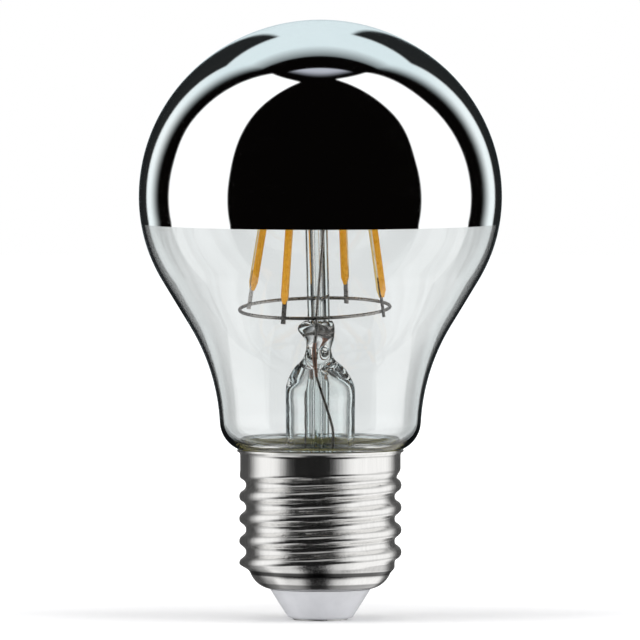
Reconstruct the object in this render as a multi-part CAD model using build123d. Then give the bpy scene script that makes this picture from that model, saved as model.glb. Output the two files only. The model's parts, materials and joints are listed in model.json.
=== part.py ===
"""Clear LED filament lamp with a silvered upper half and a 27 mm screw cap.

Millimetres. The origin is the middle of the contact face at the foot of the cap, and +Z runs
along the lamp's axis towards the dome. -Y is the front.
"""
import os
from math import asin, cos, degrees, floor, radians, sin, sqrt

from build123d import *

# Screw cap: rolled thin sheet
thread_major = 26.4
thread_minor = 24.2
thread_pitch = 3.629
thread_crest_z = 11.0
skirt_diameter = 26.1
sheet = 0.3
cap_end_z = 5.0
cap_end_round = 4.1
cap_end_diameter = 23.36
cap_end_turn = 89.0
thread_foot_z = 7.6
thread_full_low_z = 9.2
thread_full_high_z = 22.4
thread_head_z = 24.8
lip_z = 27.7
lip_round = 0.7
lip_turn = 75.0

# Insulator and center contact
insulator_foot_radius = 5.15
insulator_foot_round = 1.0
insulator_rim_radius = 8.2
insulator_fit = 0.05
insulator_wall = 1.5
insulator_head = 1.2
insulator_grip_turn = 16.0
contact_diameter = 9.0
contact_thickness = 0.25
contact_stem_diameter = 2.5
contact_stem_length = 2.1

# Glass bulb, outside sizes
bulb_diameter = 59.0
dome_height = 28.73
shoulder_radius = 26.27
cone_angle = 31.3
waist_radius = 33.6
neck_diameter = 32.84
neck_angle = 4.6
neck_length = 1.1
tuck_radius = 5.0
tuck_turn = 80.0
tuck_rim_clearance = 0.1
seal_round = 1.2
seal_length = 6.0
seal_wall = 0.9
glass_wall = 0.5

# Silver film, far thicker here than the real one
mirror_thickness = 0.1
mirror_edge_drop = 4.3

# Glass stem: flare, press, button, exhaust tube and post
flare_diameter = 11.2
flare_wall = 1.0
flare_rim_above_seal_end = 0.8
press_foot_z = 37.6
press_hollow_z = 40.8
press_waist_z = 43.4
press_neck_z = 45.6
button_z = 47.3
press_top_z = 48.7
press_shoulder_curve = 1.6
press_waist_rise = 0.8
press_waist_x = -0.3
press_waist_half_x = 2.05
press_waist_half_y = 4.5
press_neck_x = -0.1
press_neck_half_x = 2.3
press_neck_half_y = 4.1
button_x = -0.68
button_half_x = 3.0
button_half_y = 3.6
button_rim = 0.4
exhaust_x = -0.45
exhaust_diameter = 3.8
exhaust_bore = 1.2
exhaust_tip_z = 14.0
exhaust_port_diameter = 1.2
exhaust_port_rise = 0.6
exhaust_room = 0.4
post_diameter = 3.65
post_bore = 1.0
post_sink = 1.0
post_head = 1.6
post_solid_head = 4.0

# Mount: the post and the filament cage lean a little to the front and to the left
mount_x = -0.28
lean_front_angle = 5.3
lean_left_angle = 1.36

# Filament cage, uneven as it was put together by hand
filament_angles = (66.0, 148.5, 246.5, 331.5)
filament_twists = (-16.0, -18.0, 3.5, 20.5)
filament_faces = (-1, -1, 1, 1)
filament_length = 38.0
lower_ring_radius = 12.2
lower_ring_x = -0.6
lower_ring_z = 50.8
upper_ring_radius = 6.0
cage_wire_diameter = 0.55
strip_thickness = 0.3
strip_width = 1.0
coating_width = 1.2
coating_depth = 0.8
back_coating_width = 1.1
back_coating_depth = 0.45
coating_point = 1.2
coating_point_share = 0.45
tab_length = 2.2
tab_grip = 3.2
tab_tail = 1.0
tab_width = 0.7
weld_bite = 0.06

# Lead-in wires
lead_diameter = 0.45
lead_x = -0.65
lead_spread = 2.6
lead_room = 0.6
lead_rise = 0.8
top_lead_side = 3.9
top_lead_bend = 4.0
ring_lead_tail = 0.7
ring_lead_bend = 1.6
seal_wire_low_z = 39.8
seal_wire_high_z = 45.2
outer_lead_front_bend = 12.0
outer_lead_back_bend = 2.5
outer_lead_front_x = 2.0
outer_lead_front_drop = 9.4
outer_lead_back_x = -2.45
outer_lead_back_drop = 3.2
outer_lead_near_y = 2.1
outer_lead_far_x = 4.0
outer_lead_far_y = 3.4
outer_lead_straight_end = 2.5
outer_lead_spread_end = 11.5

# Driver inside the cap
board_radius = 7.9
board_thickness = 1.0
capacitor_diameter = 6.0
capacitor_height = 8.5
fuse_diameter = 2.3
fuse_length = 6.2
fuse_room = 0.2
piece_round = 0.4
chip_height = 1.5
chip_chamfer = 0.3
chip_y = -4.2
rectifier_x = -3.6
rectifier_length = 4.7
rectifier_width = 3.9
driver_chip_x = 1.2
driver_chip_length = 4.2
driver_chip_width = 3.0
hookup_diameter = 0.6
cap_wire_rise = 3.0
cap_wire_inset = 1.0
cap_wire_bend = 1.2

# Cement ring
cement_low_z = 24.9
cement_high_z = 27.0


def at(radius, z):
    """Point of a half section in the XZ plane."""
    return Vector(radius, 0, z)


def normal(angle):
    """Outward direction of the section, in degrees above the horizontal."""
    return at(cos(radians(angle)), sin(radians(angle)))


def turned(edges):
    """Solid of revolution of a closed half section about the lamp's axis."""
    return Solid.revolve(Face(Wire(edges)), 360, Axis.Z)


def polygon(*points):
    """Closed run of straight edges through section points."""
    corners = [at(*p) for p in points]
    return [Line(a, b) for a, b in zip(corners, corners[1:] + corners[:1])]


def round_arc(center, radius, first, last, inward, hollow=False, gain=0):
    """Arc of the glass outline between two normal angles, moved inward by a distance.

    A hollow arc has its center outside the glass. The distance grows by the gain along the arc.
    """
    points = []
    for share in (0, 0.5, 1):
        depth = inward + gain * share
        reach = -(radius + depth) if hollow else radius - depth
        points.append(center + normal(first + (last - first) * share) * reach)
    return ThreePointArc(*points)


# Screw cap

thread_depth = (thread_major - thread_minor) / 2
thread_round = (thread_pitch**2 / 16 + thread_depth**2 / 4) / thread_depth
skirt_radius = skirt_diameter / 2
cap_end_center = at(cap_end_diameter / 2 - cap_end_round, cap_end_z + cap_end_round)
lip_start_z = lip_z - (lip_round + sheet) * sin(radians(lip_turn))
lip_center = at(skirt_radius + lip_round, lip_start_z)


def thread_wave(z, turn):
    """Radius of the round screw thread at a height and a share of a full turn."""
    phase = (z - thread_crest_z) / thread_pitch - turn
    from_crest = abs(phase - floor(phase + 0.5)) * thread_pitch
    if from_crest <= thread_pitch / 4:
        return thread_major / 2 - thread_round + sqrt(thread_round**2 - from_crest**2)
    from_root = thread_pitch / 2 - from_crest
    return thread_minor / 2 + thread_round - sqrt(thread_round**2 - from_root**2)


def ease(z, low, high):
    """Smooth step from 0 at the low height to 1 at the high one."""
    share = min(max((z - low) / (high - low), 0), 1)
    return share * share * (3 - 2 * share)


def cap_radius(z, turn, inward):
    """Radius of the cap's thread zone, which runs out into the skirt and the round end."""
    drop = max(cap_end_center.Z - z, 0)
    plain = cap_end_center.X + sqrt((cap_end_round - inward) ** 2 - drop**2)
    wave = thread_wave(z, turn) - inward
    low = plain + (wave - plain) * ease(z, thread_foot_z, thread_full_low_z)
    return low + (skirt_radius - inward - low) * ease(z, thread_full_high_z, thread_head_z)


def cap_skin(turn, inward):
    """Edges of one face of the sheet, lip to end, in the half plane at a share of a turn."""
    rows = 48
    step = (thread_head_z - thread_foot_z) / rows
    heights = [thread_head_z - step * i for i in range(rows + 1)]
    wave = [at(cap_radius(z, turn, inward), z) for z in heights]
    lip = round_arc(lip_center, lip_round, 180 - lip_turn, 180, -inward)
    foot = asin((cap_end_center.Z - thread_foot_z) / (cap_end_round - inward))
    end = round_arc(cap_end_center, cap_end_round, -degrees(foot), -cap_end_turn, inward)
    skirt = Line(lip @ 1, wave[0])
    thread = Edge.make_spline(wave, parameters=[i / rows for i in range(rows + 1)])
    return [lip, skirt, thread, end]


def cap_section(turn):
    """Closed section of the sheet in the half plane at a share of a turn."""
    outer = cap_skin(turn, 0)
    inner = cap_skin(turn, sheet)
    tip = Line(outer[0] @ 0, inner[0] @ 0)
    edge = Line(outer[-1] @ 1, inner[-1] @ 1)
    return Wire(outer + [edge] + inner[::-1] + [tip]).rotate(Axis.Z, 360 * turn)


def make_screw_cap():
    """Two lofted halves of the rolled sheet, joined."""
    steps = 10
    halves = []
    for start in (0, 0.5):
        sections = [cap_section(start + 0.5 * i / steps) for i in range(steps + 1)]
        halves.append(Solid.make_loft(sections))
    return halves[0] + halves[1]


# Insulator and contact

insulator_opening = cap_end_center.X - insulator_fit
insulator_head_z = cap_end_z + sheet + insulator_head


def make_insulator():
    """Hollow cone that grips the turned-in end of the cap."""
    grip_radius = cap_end_round - sheet - insulator_fit
    grip = round_arc(cap_end_center, grip_radius, -90, -90 + insulator_grip_turn, 0)
    head_radius = (grip @ 1).X
    hollow_radius = insulator_opening - insulator_wall
    floor_z = contact_thickness + insulator_wall
    floor_radius = insulator_foot_radius - insulator_wall
    outline = [
        at(contact_stem_diameter / 2, contact_thickness),
        at(insulator_foot_radius, contact_thickness),
        at(insulator_rim_radius, cap_end_z),
        at(insulator_opening, cap_end_z),
        grip @ 0,
    ]
    inside = [
        grip @ 1,
        at(head_radius, insulator_head_z),
        at(hollow_radius, insulator_head_z),
        at(hollow_radius, cap_end_z),
        at(floor_radius, floor_z),
        at(contact_stem_diameter / 2, floor_z),
        at(contact_stem_diameter / 2, contact_thickness),
    ]
    edges = [Line(a, b) for run in (outline, inside) for a, b in zip(run, run[1:])]
    body = turned(edges + [grip])
    foot = body.edges().filter_by(GeomType.CIRCLE).sort_by(Axis.Z)
    corner = [e for e in foot if abs(e.radius - insulator_foot_radius) < 1e-6]
    return body.fillet(insulator_foot_round, corner)


def make_contact():
    """Flat disc with the stem that is pressed into the insulator."""
    radius = contact_diameter / 2
    stem = contact_stem_diameter / 2
    top = contact_thickness + contact_stem_length
    round_off = contact_thickness * 0.6
    disc = polygon(
        (0, 0),
        (radius - round_off, 0),
        (radius, round_off),
        (radius, contact_thickness),
        (stem, contact_thickness),
        (stem, top),
        (0, top),
    )
    return turned(disc)


# Glass bulb: an outline of arcs, each kept with its center, so that it can be moved inward

lip_tip_radius = lip_center.X - (lip_round + sheet) * cos(radians(lip_turn))
neck_foot_radius = neck_diameter / 2 - neck_length * sin(radians(neck_angle))
tuck_center_radius = neck_foot_radius - tuck_radius * cos(radians(neck_angle))
tuck_center_z = lip_z + tuck_rim_clearance
tuck_center_z += sqrt(tuck_radius**2 - (lip_tip_radius - tuck_center_radius) ** 2)
tuck_center = at(tuck_center_radius, tuck_center_z)
neck_foot = tuck_center + normal(-neck_angle) * tuck_radius
neck_rise = at(sin(radians(neck_angle)), cos(radians(neck_angle)))
neck_head = neck_foot + neck_rise * neck_length
waist_center = neck_head + normal(-neck_angle) * waist_radius
cone_foot = waist_center - normal(-cone_angle) * waist_radius
cone_reach = bulb_diameter / 2 - shoulder_radius * (1 - cos(radians(cone_angle)))
cone_length = (cone_reach - cone_foot.X) / sin(radians(cone_angle))
cone_rise = at(sin(radians(cone_angle)), cos(radians(cone_angle)))
cone_head = cone_foot + cone_rise * cone_length
shoulder_center = cone_head - normal(-cone_angle) * shoulder_radius
equator_z = shoulder_center.Z
dome_top_z = equator_z + dome_height
tuck_end = tuck_center + normal(-tuck_turn) * tuck_radius
seal_center = tuck_end + normal(-tuck_turn) * seal_round
seal_radius = seal_center.X - seal_round
seal_end_z = seal_center.Z - seal_length


def dome_skin(inward, last):
    """Outline from the top of the dome down to a normal angle on the shoulder."""
    section = Plane(at(0, equator_z), x_dir=(1, 0, 0), z_dir=(0, -1, 0))
    half_width = bulb_diameter / 2 - inward
    height = dome_height - inward
    dome = Edge.make_ellipse(half_width, height, section, 90, 0, AngularDirection.CLOCKWISE)
    return [dome, round_arc(shoulder_center, shoulder_radius, 0, last, inward)]


def seal_skin(inward):
    """Outline from the foot of the neck, tucked in under the rim, to the end of the thick seal."""
    depth = inward * seal_wall / glass_wall
    tuck = round_arc(tuck_center, tuck_radius, -neck_angle, -tuck_turn, inward, gain=depth - inward)
    fillet = round_arc(seal_center, seal_round, -tuck_turn, 0, depth, hollow=True)
    return [tuck, fillet, Line(fillet @ 1, at(seal_radius - depth, seal_end_z))]


def bulb_skin(inward):
    """Whole outline of the glass, from the top of the dome to the end of the seal."""
    dome = dome_skin(inward, -cone_angle)
    waist = round_arc(waist_center, waist_radius, -cone_angle, -neck_angle, inward, hollow=True)
    seal = seal_skin(inward)
    cone = Line(dome[-1] @ 1, waist @ 0)
    neck = Line(waist @ 1, seal[0] @ 0)
    return dome + [cone, waist, neck] + seal


def glass_layer(skin, outer, inner):
    """Revolved wall between two depths of an outline that runs from the dome down."""
    near = skin(outer)
    far = skin(inner)
    top = Line(at(0, dome_top_z - outer), at(0, dome_top_z - inner))
    end = Line(near[-1] @ 1, far[-1] @ 1)
    return turned(near + [end] + far[::-1] + [top])


def make_glass_bulb():
    return glass_layer(bulb_skin, 0, glass_wall)


def make_mirror():
    """Film on the inside of the glass, down to a level edge below the widest line."""
    edge = -degrees(asin(mirror_edge_drop / (shoulder_radius - glass_wall)))
    return glass_layer(lambda d: dome_skin(d, edge), glass_wall, glass_wall + mirror_thickness)


def make_cement():
    """Ring of cement between the sealed neck and the skirt."""
    wall = skirt_radius - sheet
    blank = turned(
        polygon(
            (seal_radius, cement_low_z),
            (wall, cement_low_z),
            (wall, cement_high_z),
            (seal_radius, cement_high_z),
        )
    )
    return blank - turned(seal_profile())


def seal_profile():
    """Filled half section of the glass below the neck, to cut its seat in the cement."""
    skin = seal_skin(0)
    start = skin[0] @ 0
    end = skin[-1] @ 1
    return skin + [
        Line(end, at(0, end.Z)),
        Line(at(0, end.Z), at(0, start.Z)),
        Line(at(0, start.Z), start),
    ]


# Glass stem

flare_radius = flare_diameter / 2
flare_rim_radius = seal_radius - seal_wall
flare_sweep = flare_rim_radius - flare_radius
flare_rim_low_z = seal_end_z + flare_rim_above_seal_end
flare_bend_z = flare_rim_low_z + flare_sweep + flare_wall
mount_frame = Location((mount_x, 0, press_top_z), (lean_front_angle, -lean_left_angle, 0))


def oval_loft(sections):
    """Solid through ovals given as height, sideways shift, half width and half depth."""
    ovals = [Pos(x, 0, z) * Ellipse(half_x, half_y) for z, x, half_x, half_y in sections]
    return loft(ovals)


def make_flare_tube():
    """Tube that opens like a trumpet onto the inside of the seal."""
    bend_center = at(flare_rim_radius, flare_bend_z)
    outside = round_arc(bend_center, flare_sweep, 180, 270, 0)
    inside = round_arc(bend_center, flare_sweep + flare_wall, 180, 270, 0)
    bore = flare_radius - flare_wall
    edges = [
        outside,
        inside,
        Line(outside @ 1, inside @ 1),
        Line(outside @ 0, at(flare_radius, press_foot_z)),
        Line(at(flare_radius, press_foot_z), at(bore, press_foot_z)),
        Line(at(bore, press_foot_z), inside @ 0),
    ]
    return turned(edges)


def make_press():
    """Tube end pinched flat, with a rounded button on top."""
    rise = press_waist_z - press_foot_z
    head = post_diameter / 2 + button_rim
    waist_x = press_waist_half_x
    waist_y = press_waist_half_y
    neck = (press_neck_z, press_neck_x, press_neck_half_x, press_neck_half_y)
    button = (button_z, button_x, button_half_x, button_half_y)
    top = (press_top_z, mount_x, head, head)
    sections = []
    for share in (0, 0.18, 0.4, 0.62):
        fall = share**press_shoulder_curve
        half_x = flare_radius + (waist_x - flare_radius) * fall
        half_y = flare_radius + (waist_y - flare_radius) * fall
        sections.append((press_foot_z + rise * share, press_waist_x * share, half_x, half_y))
    sections += [
        (press_foot_z + rise * 0.85, press_waist_x, waist_x * 1.25, waist_y * 1.06),
        (press_waist_z + press_waist_rise, press_waist_x, waist_x, waist_y),
        neck,
        [(a + b) / 2 for a, b in zip(neck, button)],
        button,
        [button[0] * 0.4 + top[0] * 0.6] + [a * 0.72 + b * 0.28 for a, b in zip(button[1:], top[1:])],
        top,
    ]
    outside = oval_loft(sections)
    bore = flare_radius - flare_wall
    room_x = exhaust_diameter / 2 + exhaust_room
    room_y = lead_spread + lead_diameter + lead_room
    hollow = oval_loft(
        [
            (press_foot_z, 0, bore, bore),
            ((press_foot_z + press_hollow_z) / 2, 0, bore * 0.8, bore * 0.94),
            (press_hollow_z, exhaust_x, room_x, room_y),
        ]
    )
    return outside - hollow


def make_exhaust_tube():
    """Thin tube down the middle of the stem, melted shut at its tip."""
    radius = exhaust_diameter / 2
    bore = exhaust_bore / 2
    wall = radius - bore
    tip = round_arc(at(0, exhaust_tip_z + radius), radius, -90, 0, 0)
    inside = round_arc(at(0, exhaust_tip_z + radius + wall), bore, 0, -90, 0)
    edges = [
        tip,
        Line(tip @ 1, at(radius, press_hollow_z)),
        Line(at(radius, press_hollow_z), at(bore, press_hollow_z)),
        Line(at(bore, press_hollow_z), inside @ 0),
        inside,
        Line(inside @ 1, tip @ 0),
    ]
    return Pos(exhaust_x, 0, 0) * turned(edges)


def make_exhaust_port():
    """Bore that leads from the exhaust tube out through the side of the press."""
    radius = exhaust_port_diameter / 2
    height = press_waist_z + exhaust_port_rise
    rise = height - press_hollow_z
    bore = Pos(exhaust_x, 0, press_hollow_z + rise / 2) * Cylinder(radius, rise)
    side = Pos(exhaust_x - flare_radius / 2, 0, height) * Rot(0, 90, 0)
    return bore + side * Cylinder(radius, flare_radius)


lean_reach = lower_ring_z - press_top_z
cage_in = lower_ring_radius - upper_ring_radius
cage_height = sqrt(filament_length**2 - cage_in**2)
upper_ring_height = lean_reach + cage_height
post_top = upper_ring_height + post_head
cage_wire_radius = cage_wire_diameter / 2


def make_post():
    """Glass tube, closed and rounded at the top."""
    radius = post_diameter / 2
    length = post_top + post_sink
    rod = Pos(0, 0, length / 2 - post_sink) * Cylinder(radius, length)
    rod = rod.fillet(radius * 0.5, [rod.edges().filter_by(GeomType.CIRCLE).sort_by(Axis.Z)[-1]])
    depth = length - post_solid_head
    bore = Pos(0, 0, depth / 2 - post_sink) * Cylinder(post_bore / 2, depth)
    return mount_frame * (rod - bore)


# Filament cage, built about the post's own axis


def make_ring(radius, x, height):
    return mount_frame * Pos(x, 0, height) * Torus(radius, cage_wire_radius)


def make_cross_wire():
    """Wire melted into the top of the post, which carries the upper ring."""
    bar = Rot(0, 90, 0) * Cylinder(cage_wire_radius, 2 * upper_ring_radius)
    return mount_frame * Pos(0, 0, upper_ring_height) * bar


def ring_point(radius, x, angle, height):
    """Point on a ring of the cage, in the mount's own frame."""
    return Vector(x + radius * cos(radians(angle)), radius * sin(radians(angle)), height)


def filament_frame(angle, twist):
    """Frame at the foot of a filament, with Z along it and X away from the post."""
    foot = ring_point(lower_ring_radius, lower_ring_x, angle, lean_reach)
    head = ring_point(upper_ring_radius, 0, angle + twist, upper_ring_height)
    run = head - foot
    along = run.normalized()
    start = foot + along * (run.length - filament_length) / 2
    outward = ring_point(1, 0, angle + twist / 2, 0)
    across = along.cross(outward).cross(along)
    return mount_frame * Plane(start, x_dir=across, z_dir=along).location


strip_out = cage_wire_radius + strip_thickness / 2 - weld_bite


def coating_section(width, depth):
    """Half oval that lies on the strip's face."""
    arc = Edge.make_ellipse(depth, width / 2, Plane.XY, -90, 90)
    return make_face([arc, Line(arc @ 1, arc @ 0)])


def make_coating(width, depth, face):
    """Phosphor on one face of the strip, drawn to a point at both ends."""
    broad = coating_section(width, depth)
    narrow = coating_section(width * coating_point_share, depth * coating_point_share)
    start = tab_length + coating_point
    end = filament_length - start
    low = loft([Pos(0, 0, tab_length) * narrow, Pos(0, 0, start) * broad])
    high = loft([Pos(0, 0, end) * broad, Pos(0, 0, end + coating_point) * narrow])
    body = Pos(0, 0, start) * extrude(broad, end - start)
    turn = Rot(0, 0, 0 if face > 0 else 180)
    return Pos(strip_out + face * strip_thickness / 2, 0, 0) * turn * (low + body + high)


def make_strip():
    """Carrier strip between the two tabs."""
    length = filament_length - 2 * (tab_length + tab_grip)
    return Pos(strip_out, 0, filament_length / 2) * Box(strip_thickness, strip_width, length)


def make_tab(upper):
    """Metal end of the strip, held by the coatings and welded to its ring."""
    length = tab_tail + tab_length + tab_grip
    low = length / 2 - tab_tail
    middle = filament_length - low if upper else low
    return Pos(strip_out, 0, middle) * Box(strip_thickness, tab_width, length)


# Lead-in wires


def make_wire(points, bend, diameter):
    """Round wire of straight runs joined by tangent arcs."""
    path = FilletPolyline(*points, radius=bend) if bend else Line(*points)
    start = Plane(origin=path @ 0, z_dir=path % 0)
    return sweep(start * Circle(diameter / 2), path)


def mount_point(x, y, height):
    """Place in the leaning mount's frame, as a point of the lamp."""
    return (mount_frame * Pos(x, y, height)).position


def make_seal_wire(side):
    points = [(lead_x, side * lead_spread, z) for z in (seal_wire_low_z, seal_wire_high_z)]
    return make_wire(points, 0, lead_diameter)


def make_top_lead():
    """Inner lead in front of the post, up to the cross wire."""
    touch = cage_wire_radius + lead_diameter / 2 - weld_bite
    points = [
        (lead_x, -lead_spread, seal_wire_high_z),
        (lead_x, -lead_spread, press_top_z + lead_rise),
        mount_point(top_lead_side, -touch, upper_ring_height + lead_rise),
    ]
    return make_wire(points, top_lead_bend, lead_diameter)


def make_ring_lead():
    """Inner lead behind the post, bent back under the lower ring."""
    touch = cage_wire_radius + lead_diameter / 2 - weld_bite
    points = [
        (lead_x, lead_spread, seal_wire_high_z),
        (lead_x + lead_diameter, lead_spread, press_top_z + lead_rise),
        mount_point(lower_ring_x, lower_ring_radius + ring_lead_tail, lean_reach - touch),
    ]
    return make_wire(points, ring_lead_bend, lead_diameter)


board_top_z = insulator_head_z + board_thickness


def make_outer_lead(side, near_x, drop, bend):
    """Outer lead, spread round the exhaust tube and down to the board."""
    near_y = side * outer_lead_near_y
    far_x = -side * outer_lead_far_x
    far_y = side * outer_lead_far_y
    points = [
        (lead_x, side * lead_spread, seal_wire_low_z),
        (near_x, near_y, press_hollow_z - drop),
        (near_x, near_y, flare_bend_z - outer_lead_straight_end),
        (far_x, far_y, flare_bend_z - outer_lead_spread_end),
        (far_x, far_y, board_top_z),
    ]
    return make_wire(points, bend, lead_diameter)


# Driver inside the cap


def on_board(x, y, solid_height):
    return Pos(x, y, board_top_z + solid_height / 2)


def make_board():
    return Pos(0, 0, insulator_head_z + board_thickness / 2) * Cylinder(board_radius, board_thickness)


def make_chip(x, length, width):
    block = Box(length, width, chip_height)
    top = block.faces().sort_by(Axis.Z)[-1]
    return on_board(x, chip_y, chip_height) * block.chamfer(chip_chamfer, None, top.edges())


def make_capacitor():
    can = Cylinder(capacitor_diameter / 2, capacitor_height)
    rims = can.edges().filter_by(GeomType.CIRCLE)
    y = exhaust_diameter / 2 + capacitor_diameter / 2 + exhaust_room
    return on_board(0, y, capacitor_height) * can.fillet(piece_round, rims)


def make_fuse():
    body = Cylinder(fuse_diameter / 2, fuse_length)
    body = body.fillet(piece_round, body.edges().filter_by(GeomType.CIRCLE))
    y = contact_stem_diameter / 2 + fuse_diameter / 2 + fuse_room
    return Pos(0, y, insulator_head_z - fuse_diameter / 2) * Rot(0, 90, 0) * body


def make_contact_wire():
    foot = contact_thickness + contact_stem_length
    return make_wire([(0, 0, foot), (0, 0, insulator_head_z)], 0, hookup_diameter)


def make_cap_wire():
    """Wire from the board's edge to the inside of the cap."""
    height = board_top_z + cap_wire_rise
    start = board_radius - cap_wire_inset
    end = cap_radius(height, 0.5, sheet) - hookup_diameter / 2
    points = [(-start, 0, board_top_z), (-start, 0, height), (-end, 0, height)]
    return make_wire(points, cap_wire_bend, hookup_diameter)


# Whole lamp, piece by piece

pieces = {}
pieces["screw_cap"] = make_screw_cap()
pieces["insulator"] = make_insulator()
pieces["center_contact"] = make_contact()
pieces["glass_bulb"] = make_glass_bulb()
pieces["mirror_coating"] = make_mirror()
pieces["basing_cement"] = make_cement()

pieces["lower_ring"] = make_ring(lower_ring_radius, lower_ring_x, lean_reach)
pieces["upper_ring"] = make_ring(upper_ring_radius, 0, upper_ring_height)
pieces["cross_wire"] = make_cross_wire() - pieces["upper_ring"]
pieces["top_lead"] = make_top_lead() - pieces["cross_wire"]
pieces["ring_lead"] = make_ring_lead() - pieces["lower_ring"]
pieces["seal_wire_front"] = make_seal_wire(-1)
pieces["seal_wire_back"] = make_seal_wire(1)
front_lead = (outer_lead_front_x, outer_lead_front_drop, outer_lead_front_bend)
back_lead = (outer_lead_back_x, outer_lead_back_drop, outer_lead_back_bend)
pieces["outer_lead_front"] = make_outer_lead(-1, *front_lead)
pieces["outer_lead_back"] = make_outer_lead(1, *back_lead)

post = make_post()
press = make_press() - make_exhaust_port() - post
for wire in ("top_lead", "ring_lead", "seal_wire_front", "seal_wire_back"):
    press -= pieces[wire]
pieces["stem"] = make_flare_tube() + press
pieces["exhaust_tube"] = make_exhaust_tube()
pieces["center_post"] = post - pieces["cross_wire"]

sticks = zip(filament_angles, filament_twists, filament_faces)
for number, (angle, twist, face) in enumerate(sticks, 1):
    frame = filament_frame(angle, twist)
    name = f"filament_{number}"
    pieces[name] = frame * make_coating(coating_width, coating_depth, face)
    back = make_coating(back_coating_width, back_coating_depth, -face)
    pieces[name + "_back_coating"] = frame * back
    pieces[name + "_strip"] = frame * make_strip()
    pieces[name + "_lower_tab"] = frame * make_tab(False) - pieces["lower_ring"]
    pieces[name + "_upper_tab"] = frame * make_tab(True) - pieces["upper_ring"]

pieces["driver_board"] = make_board()
pieces["smoothing_capacitor"] = make_capacitor()
pieces["rectifier"] = make_chip(rectifier_x, rectifier_length, rectifier_width)
pieces["driver_chip"] = make_chip(driver_chip_x, driver_chip_length, driver_chip_width)
pieces["fuse_resistor"] = make_fuse()
pieces["contact_wire"] = make_contact_wire()
pieces["cap_wire"] = make_cap_wire()

os.makedirs("parts", exist_ok=True)
for name, solid in pieces.items():
    export_step(solid, f"parts/{name}.step")

print("lamp height", round(dome_top_z, 2), "widest line", round(equator_z, 2))
print("pieces", len(pieces))
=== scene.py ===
import json
from math import asin, cos, pi, radians, sin, sqrt
from types import SimpleNamespace

import bpy
from mathutils import Euler, Matrix, Vector


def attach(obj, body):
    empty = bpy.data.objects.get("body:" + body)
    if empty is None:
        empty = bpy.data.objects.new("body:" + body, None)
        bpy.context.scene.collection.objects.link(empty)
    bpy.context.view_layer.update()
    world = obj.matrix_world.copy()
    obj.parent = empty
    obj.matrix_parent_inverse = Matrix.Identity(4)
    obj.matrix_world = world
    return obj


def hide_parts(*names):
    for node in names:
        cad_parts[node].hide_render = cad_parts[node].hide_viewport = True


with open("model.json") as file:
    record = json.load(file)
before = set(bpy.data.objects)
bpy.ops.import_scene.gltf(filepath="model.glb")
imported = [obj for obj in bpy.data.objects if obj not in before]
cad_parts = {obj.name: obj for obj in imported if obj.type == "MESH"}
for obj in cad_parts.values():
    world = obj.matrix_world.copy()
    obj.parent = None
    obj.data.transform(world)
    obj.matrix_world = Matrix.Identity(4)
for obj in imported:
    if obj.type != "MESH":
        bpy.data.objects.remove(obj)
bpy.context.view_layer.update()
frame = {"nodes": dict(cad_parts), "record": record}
nodes = frame["nodes"]
scene = bpy.context.scene
MM = 0.001
BLACK = (0.0, 0.0, 0.0)
WHITE = (1.0, 1.0, 1.0)

# Sizes in millimetres and degrees, as the solids have them
skirt_radius = 13.05
sheet = 0.3
lip_z = 27.7
lip_round = 0.7
lip_turn = 75.0
bulb_radius = 29.5
dome_height = 28.73
widest_z = 68.78
shoulder_radius = 26.27
cone_angle = 31.3
waist_radius = 33.6
neck_radius = 16.42
neck_angle = 4.6
neck_length = 1.1
tuck_radius = 5.0
tuck_turn = 80.0
tuck_rim_clearance = 0.1
seal_round = 1.2
seal_length = 6.0
seal_wall = 0.9
glass_wall = 0.5
mirror_thickness = 0.1
mirror_edge_drop = 4.3
flare_radius = 5.6
flare_wall = 1.0
flare_rim_above_seal_end = 0.8
press_foot_z = 37.6
press_hollow_z = 40.8
press_hollow_half_y = 3.65
press_waist_z = 43.4
press_top_z = 48.7
press_shoulder_curve = 1.6
button_rim = 0.4
mount_x = -0.28
lean_front_angle = 5.3
lean_left_angle = 1.36
exhaust_x = -0.45
exhaust_radius = 1.9
exhaust_bore_radius = 0.6
exhaust_tip_z = 14.0
exhaust_room = 0.4
port_z = 44.0
post_radius = 1.825
post_bore_radius = 0.5
post_length = 41.19
post_sink = 1.0
post_solid_head = 4.0

# Cross-sections of the press as height, sideways shift, half width and half depth
press_waist = (44.2, -0.3, 2.05, 4.5)
press_neck = (45.6, -0.1, 2.3, 4.1)
press_button = (47.3, -0.68, 3.0, 3.6)
press_top = (press_top_z, mount_x, post_radius + button_rim, post_radius + button_rim)

# Shares that shape the press and its hollow between those cross-sections, as the solid has them
shoulder_shares = (0.18, 0.4, 0.62)
shoulder_end_share = 0.85
shoulder_end_widening = 1.25
shoulder_end_deepening = 1.06
crest_rise_share = 0.6
crest_top_share = 0.28
hollow_narrowing_x = 0.8
hollow_narrowing_y = 0.94

# Sizes that only the meshes have: ends that run into each other, and rounded ends
film_sink = 0.02
film_edge_room = 0.1
tube_heights = (30.0, 34.0)
tube_foot_rise = 0.6
press_top_rise = 0.05
hollow_end_rise = 0.3
hollow_end_half_x = 1.3
hollow_end_half_y = 2.4
hollow_top_rise = 0.35
exhaust_head_z = 41.8
exhaust_straight_head_z = 41.0
exhaust_straight_foot_z = 16.5
exhaust_bore_straight = 1.0
bore_head_drop = 0.1
port_length = 6.0
post_head_round = 0.9
post_hole_sink = 0.6

# Fineness of the meshes: steps along outlines, points round a piece, and the least angle of a sharp edge
dome_steps = 56
shoulder_steps = 20
waist_steps = 16
tuck_steps = 24
seal_steps = 8
flare_steps = 12
tip_steps = 8
bore_steps = 6
post_steps = 6
stem_gap = 0.3
exhaust_gap = 5.0
bulb_count = 240
stem_count = 96
tube_count = 64
bore_count = 48
sharp_angle = 40


# Mesh helpers


def new_object(name, data):
    """New object in the scene."""
    obj = bpy.data.objects.new(name, data)
    scene.collection.objects.link(obj)
    return obj


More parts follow.
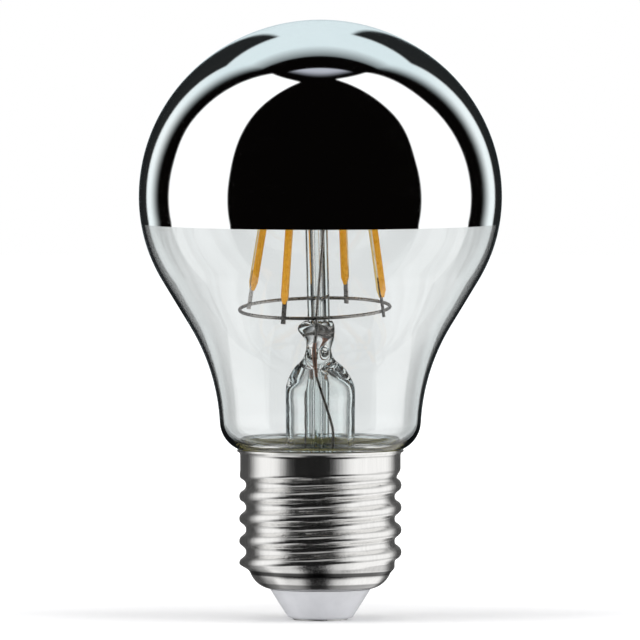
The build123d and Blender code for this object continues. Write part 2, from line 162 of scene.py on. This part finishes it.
def smooth(mesh):
    """Smooth shading with sharp edges kept."""
    mesh.shade_smooth()
    mesh.set_sharp_from_angle(angle=radians(sharp_angle))


def skin(name, rings):
    """Mesh through rings of points in millimetres; a ring of one point is a pole."""
    points = []
    starts = []
    for ring in rings:
        starts.append(len(points))
        points += [Vector(p) * MM for p in ring]

    def corners(k, i, j):
        return [starts[k] + i, starts[k] + j] if len(rings[k]) > 1 else [starts[k]]

    faces = []
    for k in range(len(rings) - 1):
        count = max(len(rings[k]), len(rings[k + 1]))
        for i in range(count):
            j = (i + 1) % count
            upper = corners(k, i, j)
            faces.append(upper[:1] + corners(k + 1, i, j) + upper[1:])
    mesh = bpy.data.meshes.new(name)
    mesh.from_pydata(points, [], faces)
    mesh.validate()
    smooth(mesh)
    return new_object(name, mesh)


def oval(z, x, half_x, half_y, count):
    """Level ring of points about a middle in x, or one point where it has no width."""
    if half_x < 1e-6:
        return [(x, 0, z)]
    turns = [2 * pi * i / count for i in range(count)]
    return [(x + half_x * cos(t), half_y * sin(t), z) for t in turns]


def lathe(name, outline, count):
    """Surface of revolution of an outline of radius and height, listed from the top down."""
    return skin(name, [oval(z, 0, r, r, count) for r, z in outline])


def on_circle(center, radius, angle):
    """Point, as radius and height, at an angle on a circle."""
    return (center[0] + radius * cos(radians(angle)), center[1] + radius * sin(radians(angle)))


def arc(center, radius, first, last, steps):
    """Points of an arc between two angles, both ends included."""
    return [on_circle(center, radius, first + (last - first) * i / steps) for i in range(steps + 1)]


def heights(first, last, gap):
    """Even heights from the first to the last, about a gap apart."""
    count = round(abs(last - first) / gap)
    return [first + (last - first) * i / count for i in range(count + 1)]


def eased(keys, z):
    """Values at a height on smooth curves through key rows, whose first value is the height."""
    rows = sorted(keys)
    last = len(rows) - 1
    k = max(i for i in range(last) if rows[i][0] <= z or i == 0)

    def slope(i, n):
        low, high = max(i - 1, 0), min(i + 1, last)
        return (rows[high][n] - rows[low][n]) / (rows[high][0] - rows[low][0])

    span = rows[k + 1][0] - rows[k][0]
    t = (z - rows[k][0]) / span
    values = []
    for n in range(1, len(rows[0])):
        start = (2 * t**3 - 3 * t**2 + 1) * rows[k][n] + (t**3 - 2 * t**2 + t) * span * slope(k, n)
        end = (3 * t**2 - 2 * t**3) * rows[k + 1][n] + (t**3 - t**2) * span * slope(k + 1, n)
        values.append(start + end)
    return values


def combine(target, others, operation):
    """Boolean of a solid with others, which are used up."""
    for other in others:
        cut = target.modifiers.new("combine", "BOOLEAN")
        cut.operation = operation
        cut.solver = "EXACT"
        cut.object = other
    depsgraph = bpy.context.evaluated_depsgraph_get()
    mesh = bpy.data.meshes.new_from_object(target.evaluated_get(depsgraph))
    target.modifiers.clear()
    target.data = mesh
    for other in others:
        bpy.data.objects.remove(other)
    smooth(mesh)


# Glass bulb and its silver film

lip_tip_radius = skirt_radius + lip_round - (lip_round + sheet) * cos(radians(lip_turn))
tuck_x = neck_radius - neck_length * sin(radians(neck_angle)) - tuck_radius * cos(radians(neck_angle))
tuck_z = lip_z + tuck_rim_clearance + sqrt(tuck_radius**2 - (lip_tip_radius - tuck_x) ** 2)
tuck_center = (tuck_x, tuck_z)
neck_head_z = tuck_z - tuck_radius * sin(radians(neck_angle)) + neck_length * cos(radians(neck_angle))
neck_head = (neck_radius, neck_head_z)
seal_center = on_circle(tuck_center, tuck_radius + seal_round, -tuck_turn)
seal_radius = seal_center[0] - seal_round
seal_end_z = seal_center[1] - seal_length


def bulb_outline(inward, foot):
    """Outline of the glass from the top of the dome to the end of the seal, at depths of wall and seal."""
    out = []
    half = bulb_radius - inward
    height = dome_height - inward
    for i in range(dome_steps + 1):
        turn = radians(90 - 90 * i / dome_steps)
        out.append((half * cos(turn), widest_z + height * sin(turn)))
    shoulder = (bulb_radius - shoulder_radius, widest_z)
    out += arc(shoulder, shoulder_radius - inward, 0, -cone_angle, shoulder_steps)[1:]
    waist = on_circle(neck_head, waist_radius, -neck_angle)
    out += arc(waist, waist_radius + inward, 180 - cone_angle, 180 - neck_angle, waist_steps)
    for i in range(tuck_steps + 1):
        depth = inward + (foot - inward) * i / tuck_steps
        turn = -neck_angle + (neck_angle - tuck_turn) * i / tuck_steps
        out.append(on_circle(tuck_center, tuck_radius - depth, turn))
    out += arc(seal_center, seal_round + foot, 180 - tuck_turn, 180, seal_steps)[1:]
    out.append((seal_radius - foot, seal_end_z))
    return out


def film_outline(inward):
    """Outline of the silvered zone, down to its level edge."""
    edge_z = widest_z - mirror_edge_drop
    points = [p for p in bulb_outline(inward, inward) if p[1] > edge_z + film_edge_room]
    drop = asin(mirror_edge_drop / (shoulder_radius - inward))
    edge = bulb_radius - shoulder_radius + (shoulder_radius - inward) * cos(drop)
    return points + [(edge, edge_z)]


glass_outside = bulb_outline(0, 0)
glass_inside = bulb_outline(glass_wall, seal_wall)
glass = lathe("bulb_glass", glass_outside + glass_inside[::-1], bulb_count)
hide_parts("glass_bulb")

film_outside = film_outline(glass_wall - film_sink)
film_inside = film_outline(glass_wall + mirror_thickness)
film = lathe("silver_film", film_outside + film_inside[::-1], bulb_count)
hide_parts("mirror_coating")


# Glass stem: flare, press, exhaust tube and post melted into one piece

flare_rim = seal_radius - seal_wall
flare_sweep = flare_rim - flare_radius
flare_low_z = seal_end_z + flare_rim_above_seal_end
flare_bend = (flare_rim, flare_low_z + flare_sweep + flare_wall)
tube_foot_z = flare_bend[1] + tube_foot_rise


def part_way(first, last, share):
    """Row of values at a share of the way between two rows."""
    return tuple(a * (1 - share) + b * share for a, b in zip(first, last))


def press_sections():
    """Cross-sections of the stem's outside from the flare tube to the top of the button."""
    rise = press_waist_z - press_foot_z
    waist_x, waist_half_x, waist_half_y = press_waist[1:]
    rows = [(z, 0, flare_radius, flare_radius) for z in (*tube_heights, press_foot_z)]
    for share in shoulder_shares:
        fall = share**press_shoulder_curve
        half_x = flare_radius + (waist_half_x - flare_radius) * fall
        half_y = flare_radius + (waist_half_y - flare_radius) * fall
        rows.append((press_foot_z + rise * share, waist_x * share, half_x, half_y))
    end_half_x = waist_half_x * shoulder_end_widening
    end_half_y = waist_half_y * shoulder_end_deepening
    rows.append((press_foot_z + rise * shoulder_end_share, waist_x, end_half_x, end_half_y))
    under_button = part_way(press_neck, press_button, 0.5)
    crest_z = part_way(press_button, press_top, crest_rise_share)[0]
    crest = part_way(press_button, press_top, crest_top_share)[1:]
    return rows + [press_waist, press_neck, under_button, press_button, (crest_z, *crest), press_top]


def hollow_sections():
    """Cross-sections of the hollow in the stem, from the flare tube to its closed end."""
    bore = flare_radius - flare_wall
    rows = [(z, 0, bore, bore) for z in (*tube_heights, press_foot_z)]
    middle_z = (press_foot_z + press_hollow_z) / 2
    rows.append((middle_z, 0, bore * hollow_narrowing_x, bore * hollow_narrowing_y))
    rows.append((press_hollow_z, exhaust_x, exhaust_radius + exhaust_room, press_hollow_half_y))
    return rows


def make_stem_skin():
    """Outside and hollow of the flare, the press and the button, joined at the rim of the flare."""
    outside = press_sections()
    hollow = hollow_sections()
    bend = arc(flare_bend, flare_sweep, 180, 270, flare_steps)
    bend += arc(flare_bend, flare_sweep + flare_wall, 270, 180, flare_steps)
    rows = [(press_top_z + press_top_rise, mount_x, 0, 0)]
    rows += [(z, *eased(outside, z)) for z in heights(press_top_z, tube_foot_z, stem_gap)]
    rows += [(z, 0, r, r) for r, z in bend]
    rows += [(z, *eased(hollow, z)) for z in heights(tube_foot_z, press_hollow_z, stem_gap)]
    rows.append((press_hollow_z + hollow_end_rise, exhaust_x, hollow_end_half_x, hollow_end_half_y))
    rows.append((press_hollow_z + hollow_top_rise, exhaust_x, 0, 0))
    return skin("glass_stem", [oval(*row, stem_count) for row in rows])


def make_exhaust_tube():
    """Exhaust tube with its closed tip, as a solid rod."""
    outline = [(0, exhaust_head_z), (exhaust_radius, exhaust_head_z)]
    straight = heights(exhaust_straight_head_z, exhaust_straight_foot_z, exhaust_gap)
    outline += [(exhaust_radius, z) for z in straight]
    outline += arc((0, exhaust_tip_z + exhaust_radius), exhaust_radius, 0, -90, tip_steps)[1:]
    tube = lathe("exhaust", outline, tube_count)
    tube.data.transform(Matrix.Translation((exhaust_x * MM, 0, 0)))
    return tube


def make_exhaust_bore():
    """Hole up the exhaust tube, from its round foot to the port."""
    foot_z = exhaust_tip_z + 2 * exhaust_radius - exhaust_bore_radius
    head_z = port_z - bore_head_drop
    outline = [(0, head_z), (exhaust_bore_radius, head_z)]
    outline.append((exhaust_bore_radius, foot_z + exhaust_bore_straight))
    outline += arc((0, foot_z), exhaust_bore_radius, 0, -90, bore_steps)
    bore = lathe("bore", outline, bore_count)
    bore.data.transform(Matrix.Translation((exhaust_x * MM, 0, 0)))
    return bore


def make_port():
    """Hole from the head of the bore out through the left side of the press."""
    outline = [(0, port_length), (exhaust_bore_radius, port_length), (exhaust_bore_radius, 0), (0, 0)]
    port = lathe("port", outline, bore_count)
    to_left = Matrix.Rotation(radians(-90), 4, "Y")
    port.data.transform(Matrix.Translation((exhaust_x * MM, 0, port_z * MM)) @ to_left)
    return port


def make_post():
    """Leaning post as a solid rod, and the hole up it."""
    head = (post_radius - post_head_round, post_length - post_head_round)
    outline = [(0, post_length)] + arc(head, post_head_round, 90, 0, post_steps)
    outline += [(post_radius, -post_sink), (0, -post_sink)]
    rod = lathe("rod", outline, tube_count)
    hole_top = post_length - post_solid_head
    outline = [(0, hole_top), (post_bore_radius, hole_top)]
    outline += [(post_bore_radius, -post_hole_sink), (0, -post_hole_sink)]
    hole = lathe("hole", outline, bore_count)
    lean = Euler((radians(lean_front_angle), radians(-lean_left_angle), 0)).to_matrix().to_4x4()
    for piece in (rod, hole):
        piece.data.transform(Matrix.Translation((mount_x * MM, 0, press_top_z * MM)) @ lean)
    return rod, hole


stem = make_stem_skin()
rod, hole = make_post()
combine(stem, [make_exhaust_tube(), rod], "UNION")
combine(stem, [make_exhaust_bore(), hole, make_port()], "DIFFERENCE")
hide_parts("stem", "exhaust_tube", "center_post")

for piece in (glass, film, stem):
    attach(piece, "root")


# Node helpers; most of them work in the tree of the sockets that they are given


def node(tree, kind, settings=None, **inputs):
    """New node, with inputs named by label or by i and a number, and given as values or sockets."""
    made = tree.nodes.new(kind)
    for key, value in (settings or {}).items():
        setattr(made, key, value)
    for key, value in inputs.items():
        socket = made.inputs[int(key[1:])] if key[1:].isdigit() else made.inputs[key.replace("_", " ")]
        if isinstance(value, bpy.types.NodeSocket):
            tree.links.new(value, socket)
        else:
            socket.default_value = value
    return made


def tree_of(*values):
    """Tree of the first socket among some values."""
    return next(v.id_data for v in values if isinstance(v, bpy.types.NodeSocket))


def calc(operation, *values):
    """Result of a math operation on values, of which one at least is a socket."""
    inputs = {f"i{i}": v for i, v in enumerate(values)}
    return node(tree_of(*values), "ShaderNodeMath", {"operation": operation}, **inputs).outputs[0]


def step(value, low, high, first=0.0, last=1.0, form="SMOOTHSTEP"):
    """Change from a first to a last result while the value goes from low to high."""
    return node(value.id_data, "ShaderNodeMapRange", {"interpolation_type": form}, Value=value,
                From_Min=low, From_Max=high, To_Min=first, To_Max=last).outputs[0]


def past(value, edge, soft):
    """1 where the value is over the edge, with a soft border."""
    return step(calc("SUBTRACT", value, edge), -soft / 2, soft / 2)


def band(value, low, full, still, end):
    """1 between two values, with soft flanks."""
    return times(step(value, low, full), step(value, still, end, 1.0, 0.0))


def times(first, *others):
    """Product of values."""
    for other in others:
        first = calc("MULTIPLY", first, other)
    return first


def mix(factor, low, high, blend="MIX"):
    """Blend of two colours, of which one or the factor is a socket."""
    low, high = ((*c, 1) if isinstance(c, tuple) else c for c in (low, high))
    tree = tree_of(factor, low, high)
    settings = {"data_type": "RGBA", "blend_type": blend}
    return node(tree, "ShaderNodeMix", settings, i0=factor, i6=low, i7=high).outputs[2]


# Materials

looks = {}

# Noise mostly lies between these two values, and colours have more detail of it than reliefs
noise_low = 0.3
noise_high = 0.7
colour_detail = 4.0
relief_detail = 2.0


def noise(tree, grain, stretch, detail):
    """Noise in the object's own space, with a grain in millimetres."""
    place = node(tree, "ShaderNodeTexCoord").outputs["Object"]
    scale = [s / (grain * MM) for s in stretch]
    mapped = node(tree, "ShaderNodeMapping", Vector=place, Scale=scale).outputs[0]
    return node(tree, "ShaderNodeTexNoise", Vector=mapped, Scale=1.0, Detail=detail).outputs["Fac"]


def between(pattern, low, high):
    """Noise spread from a low to a high value."""
    return step(pattern, noise_low, noise_high, low, high, "LINEAR")


def surface(name, dark, light, grain, rough, relief=0.0, stretch=(1, 1, 1), bump_grain=None, **fixed):
    """Material between two colours and two values of roughness, with grains and relief in millimetres."""
    made = bpy.data.materials.new(name)
    made.use_nodes = True
    tree = made.node_tree
    shader = tree.nodes["Principled BSDF"]
    pattern = noise(tree, grain, stretch, colour_detail)
    tree.links.new(mix(between(pattern, 0, 1), dark, light), shader.inputs["Base Color"])
    if rough[0] != rough[1]:
        tree.links.new(between(pattern, *rough), shader.inputs["Roughness"])
    else:
        shader.inputs["Roughness"].default_value = rough[0]
    if relief:
        height = noise(tree, bump_grain or grain, stretch, relief_detail)
        bump = node(tree, "ShaderNodeBump", Height=height, Strength=1.0, Distance=relief * MM)
        tree.links.new(bump.outputs[0], shader.inputs["Normal"])
    for key, value in fixed.items():
        shader.inputs[key.replace("_", " ")].default_value = value
    looks[name] = made


def painted_shade_rings(material, rings, soft=0.3):
    """Painted shade: darker rings painted into a turned piece's colour, each with its lower and upper
    height in millimetres and its tone.
    """
    tree = material.node_tree
    place = node(tree, "ShaderNodeTexCoord").outputs["Object"]
    z = node(tree, "ShaderNodeSeparateXYZ", Vector=place).outputs["Z"]
    tone = 1.0
    for low, high, level in rings:
        below = step(z, (low - soft) * MM, low * MM, 1.0, level)
        above = step(z, high * MM, (high + soft) * MM, level, 1.0)
        tone = times(calc("MAXIMUM", below, above), tone)
    base = tree.nodes["Principled BSDF"].inputs["Base Color"]
    plain = base.links[0].from_socket
    # Painted shade: the plating's colour is pulled towards black inside each ring
    tree.links.new(mix(tone, BLACK, plain), base)


def dress(obj, look):
    """One material for the whole of an object."""
    obj.data.materials.clear()
    obj.data.materials.append(looks[look])


surface("clear_glass", (0.984, 0.994, 0.991), (0.992, 0.998, 0.997), 14, (0, 0),
        relief=0.006, bump_grain=18, Transmission_Weight=1.0, IOR=1.5)
surface("stem_glass", (0.955, 0.985, 0.98), (0.985, 0.995, 0.995), 3, (0, 0),
        relief=0.03, bump_grain=2.5, Transmission_Weight=1.0, IOR=1.5)
surface("silver_mirror", (0.93, 0.94, 0.945), (0.955, 0.96, 0.962), 9, (0.015, 0.03),
        relief=0.004, bump_grain=16, Metallic=1.0)
surface("phosphor", (0.82, 0.345, 0.006), (0.93, 0.45, 0.018), 0.6, (0.25, 0.4),
        relief=0.03, bump_grain=0.5)
surface("back_phosphor", (0.80, 0.53, 0.13), (0.90, 0.68, 0.26), 0.6, (0.25, 0.4),
        relief=0.03, bump_grain=0.5)
surface("carrier_strip", (0.82, 0.76, 0.58), (0.92, 0.88, 0.75), 0.7, (0.15, 0.3))
surface("nickel_wire", (0.30, 0.29, 0.28), (0.48, 0.46, 0.44), 0.4, (0.22, 0.4),
        relief=0.01, Metallic=1.0)
surface("copper_clad_wire", (0.42, 0.19, 0.13), (0.62, 0.35, 0.26), 0.5, (0.3, 0.45),
        relief=0.01, Metallic=1.0)
surface("tinned_wire", (0.3, 0.27, 0.25), (0.5, 0.46, 0.43), 0.5, (0.25, 0.45),
        relief=0.01, Metallic=1.0)
surface("nickel_plate", (0.85, 0.845, 0.835), (0.92, 0.915, 0.905), 0.5, (0.14, 0.22),
        relief=0.006, stretch=(1, 1, 0.06), Metallic=1.0)
surface("white_plastic", (0.59, 0.596, 0.62), (0.64, 0.646, 0.672), 2.5, (0.32, 0.45),
        relief=0.01, bump_grain=0.4)
surface("contact_metal", (0.42, 0.42, 0.42), (0.6, 0.6, 0.59), 0.7, (0.25, 0.45),
        relief=0.01, Metallic=1.0)
surface("cement", (0.34, 0.31, 0.08), (0.56, 0.51, 0.2), 0.5, (0.7, 0.9), relief=0.08)
surface("board_laminate", (0.04, 0.14, 0.06), (0.08, 0.22, 0.1), 0.8, (0.3, 0.5))
surface("black_epoxy", (0.012, 0.012, 0.013), (0.03, 0.03, 0.032), 0.3, (0.45, 0.6), relief=0.01)
surface("capacitor_sleeve", (0.01, 0.012, 0.025), (0.025, 0.028, 0.05), 1.5, (0.2, 0.35))
surface("fuse_coating", (0.12, 0.2, 0.12), (0.2, 0.3, 0.19), 0.6, (0.35, 0.5), relief=0.02)

# Painted shade on the cap: a dark ring under its thread for the shade of a groove that the solid lacks, and
# one at its rolled foot for the shadow there, each with two heights and a tone
groove_painted_shade = (7.6, 8.0, 0.12)
foot_painted_shade = (0.0, 6.0, 0.35)
painted_shade_rings(looks["nickel_plate"], [groove_painted_shade, foot_painted_shade])

slots = {row["node"]: row["material_slot"] for row in frame["record"]["subparts"]}
for name, obj in nodes.items():
    dress(obj, slots[name])
dress(glass, "clear_glass")
dress(film, "silver_mirror")
dress(stem, "stem_glass")


# Studio: a room that shiny pieces show, three soft boxes for matt ones, a pale floor and the camera


def ray_angles(tree):
    """Direction of a ray, with angles in degrees from the front, up, over the top and to the side."""
    direction = node(tree, "ShaderNodeTexCoord").outputs["Generated"]
    x, y, z = node(tree, "ShaderNodeSeparateXYZ", Vector=direction).outputs
    front = calc("MULTIPLY", y, -1.0)
    azimuth = calc("DEGREES", calc("ARCTAN2", x, front))
    return SimpleNamespace(
        x=x,
        z=z,
        front=front,
        azimuth=azimuth,
        away=calc("ABSOLUTE", azimuth),
        height=calc("DEGREES", calc("ARCSINE", z)),
        over=calc("DEGREES", calc("ARCTAN2", calc("MAXIMUM", z, 0.0), front)),
        side=calc("DEGREES", calc("ARCSINE", x)),
    )


def patch(ray, first, last, head, soft):
    """1 between two turns and below a height, with soft borders."""
    wide = times(past(ray.azimuth, first, soft), past(last, ray.azimuth, soft))
    return times(wide, past(head, ray.height, soft))


def side_panels(ray):
    """Tall white panels at the left and the right, with leaning sides and rounded tops."""
    soft = 1.0

    def top(start, level, fall):
        turn = calc("SUBTRACT", ray.azimuth, start)
        return calc("MULTIPLY_ADD", times(turn, turn), -fall, level)

    left_far = step(ray.height, 10, 28, -114.0, -116.8)
    left_near = step(ray.height, 10, 60, -61.9, -67.1)
    right_near = step(ray.height, 18, 50, 68.0, 72.7)
    right_far = step(ray.height, 40, 68, 112.8, 118.8)
    left = patch(ray, left_far, left_near, top(-60.0, 80.0, 0.0039), soft)
    right = patch(ray, right_near, right_far, top(66.5, 82.8, 0.0053), soft)
    return calc("ADD", left, right)


def back_wall(ray):
    """Pale back of the room, soft at its sides and over the top, with two dark flags low in front of it."""
    soft = 2.0
    left_far = calc("MULTIPLY_ADD", ray.height, 0.17, -175.0)
    right_far = calc("MULTIPLY_ADD", ray.height, -0.12, 175.9)
    left_flag = patch(ray, left_far, -147.0, 37.5, soft)
    right_flag = patch(ray, 148.5, right_far, 38.0, soft)
    lit = calc("MULTIPLY_ADD", calc("ADD", left_flag, right_flag), -0.98, 1.0)
    near_top = step(ray.over, 108.8, 109.8, 0.0, 0.2)
    far_top = step(ray.over, 109.5, 121.5, 0.0, 0.8, "LINEAR")
    wide = step(ray.away, 126.0, 142.0)
    return times(calc("MINIMUM", wide, calc("ADD", near_top, far_top)), lit)


def top_lens(ray):
    """Small bright shape overhead, with a curved front edge."""
    foot = calc("MULTIPLY_ADD", times(ray.side, ray.side), 0.0407, 88.4)
    return times(step(calc("SUBTRACT", ray.over, foot), 0.0, 6.5),
                 past(97.4, ray.over, 0.8),
                 past(14.6, calc("ABSOLUTE", ray.side), 1.5))


def silver_room(ray, panels, back):
    """What the silver shows: the panels, a dark front, the back and the bright shape overhead."""
    dusk = (0.0016, 0.0013, 0.0012)
    panel_white = (1.1, 1.1, 1.1)
    side_blue = (0.92, 0.99, 1.0)
    low_blue = (0.6, 0.71, 0.75)
    high_blue = (0.73, 0.84, 0.87)
    lens_blue = (0.47, 0.49, 0.56)
    middle = calc("MAXIMUM", step(ray.height, 12.0, 45.0), step(ray.away, 150.0, 160.0))
    middle_blue = mix(step(ray.height, 2.0, 14.0), low_blue, high_blue)
    back_colour = mix(back, BLACK, mix(middle, side_blue, middle_blue))
    room = mix(1.0, mix(panels, dusk, panel_white), back_colour, "ADD")
    return mix(1.0, room, mix(top_lens(ray), BLACK, lens_blue), "ADD")


def metal_lights(ray):
    """Soft side lights for the cap, by the slope and turn of metal that mirrors them to the front."""
    reach = calc("SQRT", calc("MAXIMUM", calc("MULTIPLY_ADD", ray.front, 2.0, 2.0), 0.0))
    slope = calc("DEGREES", calc("ARCSINE", calc("DIVIDE", ray.z, calc("MAXIMUM", reach, 0.001))))
    turn = calc("DEGREES", calc("ARCTAN2", ray.x, calc("ADD", ray.front, 1.0)))

    # The dark middle is wider and the light weaker where the metal faces down
    facing_down = step(slope, -10.0, -3.0, 1.0, 0.0)
    left_turn = calc("MULTIPLY_ADD", facing_down, 6.0, turn)
    right_turn = calc("MULTIPLY_ADD", facing_down, -10.0, turn)
    left = times(step(turn, -64.0, -46.0), step(left_turn, -36.0, -21.0, 1.0, 0.0))
    right = times(step(right_turn, 6.0, 25.0), step(turn, 54.0, 70.0, 1.0, 0.0))
    level = step(calc("ABSOLUTE", slope), 12.0, 48.0, 1.0, 0.45)
    low = step(slope, -14.0, -8.0, 1.0, 0.0)
    sides = times(calc("ADD", left, right), level, step(low, 0.0, 1.0, 1.0, 0.75))

    # Light from below for the rounded end, and a streak from above for the crests
    under = calc("ADD", band(turn, -46.0, -37.0, -20.0, -8.0), band(turn, 3.0, 16.0, 57.0, 70.0))
    foot = times(under, band(slope, -70.0, -62.0, -34.0, -26.0), 0.7)
    streak = times(band(slope, 6.0, 10.0, 16.0, 22.0), band(turn, -42.0, -30.0, 24.0, 36.0), 0.4)
    light = calc("MAXIMUM", calc("ADD", sides, foot), streak)

    # A little light at the edges and from the back
    light = calc("ADD", light, step(calc("ABSOLUTE", turn), 50.0, 70.0, 0.01, 0.07))
    light = calc("ADD", light, step(ray.front, -0.93, -0.99, 0.0, 0.1))
    warm_white = (1.02, 1.017, 1.01)
    return mix(light, BLACK, warm_white)


def glass_backdrop(ray, panels, back, room, walls):
    """What shows through the glass: a pale back, wider behind the thick stem, a pale front, grey sides."""
    thick = calc("GREATER_THAN", walls, 7.5)
    edge = step(thick, 0.0, 1.0, 156.0, 142.0)
    full = step(thick, 0.0, 1.0, 180.0, 170.0)
    pale_back = step(ray.away, edge, full, form="LINEAR")
    pale_front = step(ray.away, 50.0, 62.0, 1.0, 0.0)
    low_pale = (0.89, 0.91, 0.915)
    high_pale = (0.78, 0.80, 0.805)
    dark_grey = (0.03, 0.03, 0.03)
    back_grey = (0.24, 0.25, 0.245)
    pale_colour = mix(step(ray.height, -3.6, -1.4), low_pale, high_pale)
    shade = mix(1.0, mix(panels, dark_grey, WHITE), mix(back, BLACK, back_grey), "ADD")
    shade = mix(calc("GREATER_THAN", walls, 5.5), shade, room)
    return mix(calc("MAXIMUM", pale_back, pale_front), shade, pale_colour)


def build_world():
    """White to the eye and grey to matt pieces; shiny ones see a room, by the way that a ray came."""
    world = bpy.data.worlds.new("studio")
    scene.world = world
    world.use_nodes = True
    world.cycles.sampling_method = "NONE"
    tree = world.node_tree
    tree.nodes.clear()
    ray = ray_angles(tree)
    path = node(tree, "ShaderNodeLightPath").outputs
    walls = path["Transmission Depth"]
    panels = side_panels(ray)
    back = back_wall(ray)
    room = silver_room(ray, panels, back)
    through = glass_backdrop(ray, panels, back, room, walls)

    # Brushed metal, the lowest glass and the back of the bulb show the soft lights, the rest the room
    brushed = calc("SUBTRACT", 1.0, path["Is Singular Ray"])
    steep = step(ray.height, -20.0, -32.0)
    off_front = times(calc("LESS_THAN", walls, 0.5), calc("MAXIMUM", brushed, steep))
    soft = calc("MAXIMUM", off_front, calc("COMPARE", walls, 4.0, 0.5))
    mirrored = mix(soft, room, metal_lights(ray))

    # Matt pieces inside the glass get more light, as the soft boxes don't shine through it
    inside_light = (1.5, 1.5, 1.5)
    outside_light = (0.62, 0.62, 0.63)
    clear = mix(calc("GREATER_THAN", path["Glossy Depth"], 0.5), through, mirrored)
    clear = mix(calc("GREATER_THAN", path["Diffuse Depth"], 0.5), clear, inside_light)
    plain = mix(path["Is Camera Ray"], outside_light, WHITE)
    seen = mix(path["Is Glossy Ray"], plain, clear)
    background = node(tree, "ShaderNodeBackground", Color=seen, Strength=1.0)
    output = node(tree, "ShaderNodeOutputWorld")
    tree.links.new(background.outputs[0], output.inputs["Surface"])


def soft_box(name, place, aim, size, power):
    """Area light that brightens matt surfaces; the room stands for it in reflections."""
    data = bpy.data.lights.new(name, "AREA")
    data.shape = "RECTANGLE"
    data.size, data.size_y = size
    data.energy = power
    lamp = new_object(name, data)
    lamp.location = place
    lamp.rotation_euler = (Vector(aim) - Vector(place)).to_track_quat("-Z", "Y").to_euler()
    lamp.visible_glossy = False
    lamp.visible_transmission = False
    lamp.visible_camera = False


def build_floor():
    """Pale floor that keeps the shadow near the lamp and is white to the eye further away."""
    half = 1.5
    drop = 0.02 * MM
    grey = (0.85, 0.85, 0.85, 1)
    shadow_reach = 0.03
    white_reach = 0.16
    full_glow = 0.6
    corners = [(-half, -half, 0), (half, -half, 0), (half, half, 0), (-half, half, 0)]
    mesh = bpy.data.meshes.new("floor")
    mesh.from_pydata(corners, [], [(0, 1, 2, 3)])
    floor = new_object("floor", mesh)
    floor.location.z = -drop
    floor.visible_glossy = False
    floor.visible_transmission = False
    made = bpy.data.materials.new("floor")
    made.use_nodes = True
    tree = made.node_tree
    shader = tree.nodes["Principled BSDF"]
    shader.inputs["Base Color"].default_value = grey
    shader.inputs["Roughness"].default_value = 0.9
    shader.inputs["Specular IOR Level"].default_value = 0.0
    shader.inputs["Emission Color"].default_value = (*WHITE, 1)
    place = node(tree, "ShaderNodeTexCoord").outputs["Object"]
    reach = node(tree, "ShaderNodeVectorMath", {"operation": "LENGTH"}, i0=place).outputs["Value"]
    seen = node(tree, "ShaderNodeLightPath").outputs["Is Camera Ray"]
    glow = times(seen, step(reach, shadow_reach, white_reach, 0.0, full_glow))
    tree.links.new(glow, shader.inputs["Emission Strength"])
    mesh.materials.append(made)


def build_camera():
    """Camera a little above the lamp's middle, far off with a long lens."""
    distance = 2.5
    rise = radians(2.5)
    sensor = 36.0
    frame_pixels = 640
    pixel = 0.16244 * MM
    middle = Vector((-0.06 * MM, 0, 48.73 * MM))
    data = bpy.data.cameras.new("camera")
    data.sensor_width = sensor
    data.lens = sensor * distance / (frame_pixels * pixel)
    data.clip_end = 100.0
    camera = new_object("camera", data)
    camera.location = middle + Vector((0, -cos(rise), sin(rise))) * distance
    camera.rotation_euler = (radians(90) - rise, 0, 0)
    scene.camera = camera


build_world()
build_floor()
lamp_middle = (0, 0, 0.05)
soft_box("box_left", (-0.7, -0.25, 0.35), lamp_middle, (0.5, 0.8), 4.0)
soft_box("box_right", (0.7, -0.25, 0.35), lamp_middle, (0.5, 0.8), 4.0)
soft_box("box_top", (0, -0.2, 0.9), lamp_middle, (0.7, 0.7), 3.2)
build_camera()
scene.view_settings.view_transform = "Standard"
scene.cycles.max_bounces = 32
scene.cycles.transmission_bounces = 32
scene.cycles.glossy_bounces = 12
